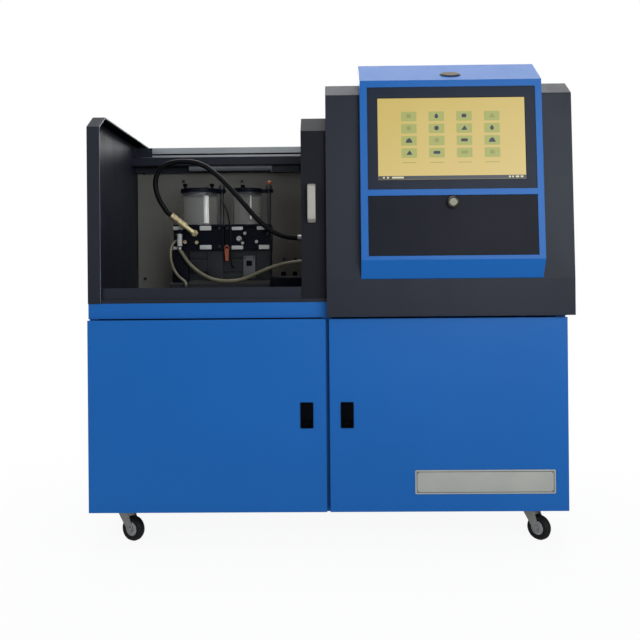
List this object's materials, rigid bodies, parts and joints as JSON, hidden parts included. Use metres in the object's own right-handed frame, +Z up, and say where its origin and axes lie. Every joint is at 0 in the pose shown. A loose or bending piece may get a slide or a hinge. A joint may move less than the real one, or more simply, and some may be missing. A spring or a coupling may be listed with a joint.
{
  "type": "diesel injector tester",
  "caption": "Wheeled steel cabinet with an open test bay, sliding cover, measuring glasses, hoses and a console with a screen and a fold-down keyboard.",
  "frame": {"origin": "on the floor under the middle of the machine's overall box", "axes": "+X to the right as the operator faces the machine, +Y from its front to its rear, +Z up"},
  "size_m": [1.444, 0.8118, 1.4496],
  "materials": {
    "blue_paint": "fine satin powder coat",
    "grey_paint": "fine textured powder coat",
    "panel_paint": "matt powder coat",
    "cast_grey": "painted casting",
    "bright_steel": "zinc plated",
    "black_steel": "black oxide",
    "black_aluminium": "black anodised",
    "bright_aluminium": "mill finish",
    "chrome": "polished",
    "brass": "yellow zinc plated",
    "black_rubber": "smooth matt",
    "wheel_rubber": "matt",
    "clear_hose": "clear hose, stained by oil",
    "clear_glass": "clear",
    "ivory_plastic": "moulded satin",
    "red_grip": "dipped grip",
    "black_plastic": "moulded satin",
    "lamp_white": "opal diffuser",
    "screen_glass": "lit display panel"
  },
  "bodies": {
    "cabinet": {"cabinet_shell": "blue_paint", "rear_cover": "blue_paint", "worktop_tray": "grey_paint", "left_guard": "grey_paint", "bay_back_panel": "panel_paint", "rear_beam": "grey_paint", "cover_rail": "bright_aluminium", "front_track": "grey_paint", "lamp_bar": "lamp_white", "port_panel": "bright_steel", "hood": "grey_paint", "console_housing": "blue_paint", "screen_panel": "black_plastic", "monitor": "screen_glass", "fixture_base": "cast_grey", "left_manifold": "black_aluminium", "right_manifold": "black_aluminium", "left_glass": "clear_glass", "right_glass": "clear_glass", "left_cap": "black_aluminium", "right_cap": "black_aluminium", "left_post": "black_steel", "right_post": "black_steel", "hose_fitting": "brass", "valve_block": "black_aluminium", "pressure_hose": "black_rubber", "drain_hose": "clear_hose", "return_hose": "clear_hose", "sensor_cable": "black_rubber", "oil_tank": "grey_paint", "drive_motor": "cast_grey", "high_pressure_pump": "cast_grey", "control_box": "panel_paint", "front_left_caster_plate": "bright_steel", "front_right_caster_plate": "bright_steel", "rear_left_caster_plate": "bright_steel", "rear_right_caster_plate": "bright_steel"},
    "left_door": {"left_door": "blue_paint", "left_latch_case": "black_plastic"},
    "left_latch_paddle": {"left_latch_paddle": "black_plastic"},
    "right_door": {"right_door": "blue_paint", "right_latch_case": "black_plastic"},
    "right_latch_paddle": {"right_latch_paddle": "black_plastic"},
    "sliding_cover": {"sliding_cover": "grey_paint", "cover_handle": "ivory_plastic"},
    "keyboard_lid": {"keyboard_lid": "grey_paint", "keyboard": "black_plastic"},
    "lid_knob": {"lid_knob": "chrome"},
    "valve_lever": {"valve_lever": "red_grip"},
    "left_flow_knob": {"left_flow_knob": "black_plastic"},
    "right_flow_knob": {"right_flow_knob": "black_plastic"},
    "shaft_coupling": {"shaft_coupling": "bright_steel"},
    "front_left_fork": {"front_left_caster_fork": "bright_steel"},
    "front_left_wheel": {"front_left_caster_wheel": "wheel_rubber"},
    "front_right_fork": {"front_right_caster_fork": "bright_steel"},
    "front_right_wheel": {"front_right_caster_wheel": "wheel_rubber"},
    "rear_left_fork": {"rear_left_caster_fork": "bright_steel"},
    "rear_left_wheel": {"rear_left_caster_wheel": "wheel_rubber"},
    "rear_right_fork": {"rear_right_caster_fork": "bright_steel"},
    "rear_right_wheel": {"rear_right_caster_wheel": "wheel_rubber"}
  },
  "joints": [
    {"name": "left_door_hinge", "type": "hinge", "parent": "cabinet", "child": "left_door", "pos_m": [-0.712, -0.33645, 0.105], "axis": [0, 0, -1], "range_deg": [0, 105]},
    {"name": "left_latch_pivot", "type": "hinge", "parent": "left_door", "child": "left_latch_paddle", "pos_m": [-0.06845, -0.34775, 0.423], "axis": [-1, 0, 0], "range_deg": [0, 35], "stiffness_Nm_per_rad": 0.08},
    {"name": "right_door_hinge", "type": "hinge", "parent": "cabinet", "child": "right_door", "pos_m": [0.696, -0.33645, 0.105], "axis": [0, 0, 1], "range_deg": [0, 105]},
    {"name": "right_latch_pivot", "type": "hinge", "parent": "right_door", "child": "right_latch_paddle", "pos_m": [0.05145, -0.34775, 0.423], "axis": [-1, 0, 0], "range_deg": [0, 35], "stiffness_Nm_per_rad": 0.08},
    {"name": "cover_slide", "type": "slide", "parent": "cabinet", "child": "sliding_cover", "axis": [-1, 0, 0], "range_m": [0, 0.621]},
    {"name": "keyboard_lid_hinge", "type": "hinge", "parent": "cabinet", "child": "keyboard_lid", "pos_m": [0.36325, -0.39629, 0.86878], "axis": [1, 0, 0], "range_deg": [0, 90]},
    {"name": "lid_knob_turn", "type": "hinge", "parent": "keyboard_lid", "child": "lid_knob", "pos_m": [0.36325, -0.39089, 1.01676], "axis": [0, -0.9976, 0.0689], "range_deg": [0, 90]},
    {"name": "valve_lever_turn", "type": "hinge", "parent": "cabinet", "child": "valve_lever", "pos_m": [-0.3485, -0.00475, 0.906], "axis": [0, -1, 0], "range_deg": [0, 90]},
    {"name": "left_flow_knob_turn", "type": "hinge", "parent": "cabinet", "child": "left_flow_knob", "pos_m": [-0.1585, 0.05105, 0.8066], "axis": [0, 0, 1], "range_deg": [0, 300]},
    {"name": "right_flow_knob_turn", "type": "hinge", "parent": "cabinet", "child": "right_flow_knob", "pos_m": [-0.119, 0.05105, 0.8066], "axis": [0, 0, 1], "range_deg": [0, 300]},
    {"name": "shaft_coupling_spin", "type": "hinge", "parent": "cabinet", "child": "shaft_coupling", "pos_m": [0.0723, 0.15155, 0.2023], "axis": [1, 0, 0], "continuous": true},
    {"name": "front_left_swivel", "type": "hinge", "parent": "cabinet", "child": "front_left_fork", "pos_m": [-0.63, -0.26345, 0.0904], "axis": [0, 0, 1], "continuous": true},
    {"name": "front_left_wheel_spin", "type": "hinge", "parent": "front_left_fork", "child": "front_left_wheel", "pos_m": [-0.60575, -0.27745, 0.0375], "axis": [0.5, 0.866, 0], "continuous": true},
    {"name": "front_right_swivel", "type": "hinge", "parent": "cabinet", "child": "front_right_fork", "pos_m": [0.614, -0.26345, 0.0904], "axis": [0, 0, 1], "continuous": true},
    {"name": "front_right_wheel_spin", "type": "hinge", "parent": "front_right_fork", "child": "front_right_wheel", "pos_m": [0.632, -0.2849, 0.0375], "axis": [0.766, 0.6428, 0], "continuous": true},
    {"name": "rear_left_swivel", "type": "hinge", "parent": "cabinet", "child": "rear_left_fork", "pos_m": [-0.63, 0.30955, 0.0904], "axis": [0, 0, 1], "continuous": true},
    {"name": "rear_left_wheel_spin", "type": "hinge", "parent": "rear_left_fork", "child": "rear_left_wheel", "pos_m": [-0.60706, 0.32561, 0.0375], "axis": [-0.5736, 0.8192, 0], "continuous": true},
    {"name": "rear_right_swivel", "type": "hinge", "parent": "cabinet", "child": "rear_right_fork", "pos_m": [0.614, 0.30955, 0.0904], "axis": [0, 0, 1], "continuous": true},
    {"name": "rear_right_wheel_spin", "type": "hinge", "parent": "rear_right_fork", "child": "rear_right_wheel", "pos_m": [0.628, 0.3338, 0.0375], "axis": [-0.866, 0.5, 0], "continuous": true}
  ]
}
